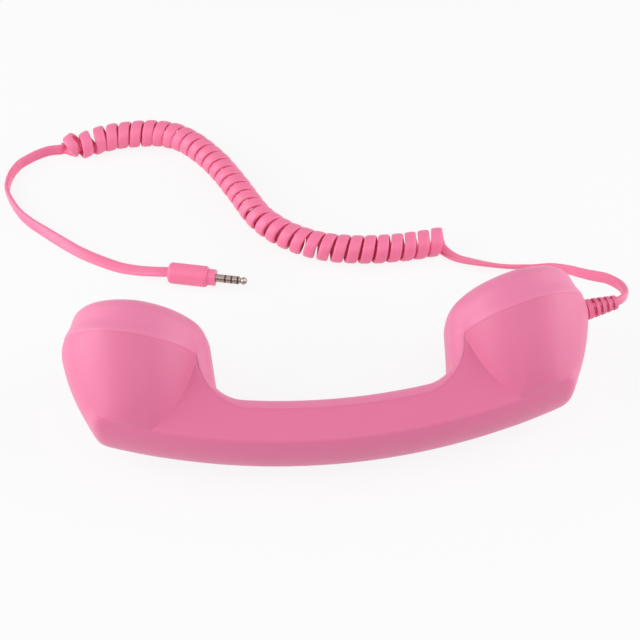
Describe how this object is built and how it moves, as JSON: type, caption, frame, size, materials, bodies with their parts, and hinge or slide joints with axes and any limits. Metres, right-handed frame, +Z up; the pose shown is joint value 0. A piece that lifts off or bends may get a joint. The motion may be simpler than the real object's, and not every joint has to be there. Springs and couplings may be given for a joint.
{
  "type": "telephone handset with jack plug",
  "caption": "Retro telephone handset with a coiled flat cord and a four-pole jack plug, for use with a mobile phone; inner answer button slides in.",
  "frame": {"origin": "centre of the handset's footprint, on the surface it lies on", "axes": "+Z up; the handset lies on its side, +X along its length toward the mouthpiece and the cord's exit, +Y toward the cup faces"},
  "size_m": [0.2658, 0.2102, 0.0566],
  "materials": {
    "shell_outer": "soft-touch satin, pink",
    "shell_inner": "soft-touch satin, pink",
    "button": "satin, light pink",
    "cord": "smooth soft PVC, bright pink",
    "contact": "polished nickel plate",
    "insulator": "black",
    "steel": "zinc plated",
    "board": "green solder mask",
    "black_plastic": "matt black",
    "black_rubber": "matt",
    "pink_rubber": "matt, pink",
    "mesh_cloth": "fine black acoustic cloth",
    "paper": "pressed film",
    "magnet": "nickel plate",
    "wire_red": "PVC",
    "wire_blue": "PVC",
    "wire_black": "PVC"
  },
  "bodies": {
    "handset": {"outer_shell": "shell_outer", "inner_shell": "shell_inner", "button_spring": "steel", "switch_board": "board", "tact_switch": "black_plastic", "board_screws": "steel", "handle_weight": "steel", "weight_screws": "steel", "shell_screws": "steel", "screw_plugs": "pink_rubber", "ear_screen": "mesh_cloth", "speaker_gasket": "black_rubber", "speaker_frame": "black_plastic", "speaker_cone": "paper", "speaker_magnet": "magnet", "speaker_clamp": "steel", "speaker_screws": "steel", "mouth_screen": "mesh_cloth", "mic_boot": "black_rubber", "microphone": "magnet", "ear_wires": "wire_red", "mic_wires": "wire_blue", "button_wires": "wire_black", "cord_clamp": "steel", "clamp_screws": "steel", "strain_relief": "cord", "exit_lead": "cord", "cord_coil": "cord", "plug_lead": "cord", "plug_body": "cord", "plug_collar": "cord", "jack_sleeve": "contact", "jack_ring_2": "contact", "jack_ring_1": "contact", "jack_tip": "contact", "jack_insulators": "insulator"},
    "button": {"answer_button": "button"}
  },
  "joints": [
    {"name": "button_press", "type": "slide", "parent": "handset", "child": "button", "axis": [0, -0.9455, -0.3256], "range_m": [0, 0.0008], "stiffness_N_per_m": 600, "springref_m": -0.001, "deforming": ["button_spring"]}
  ]
}
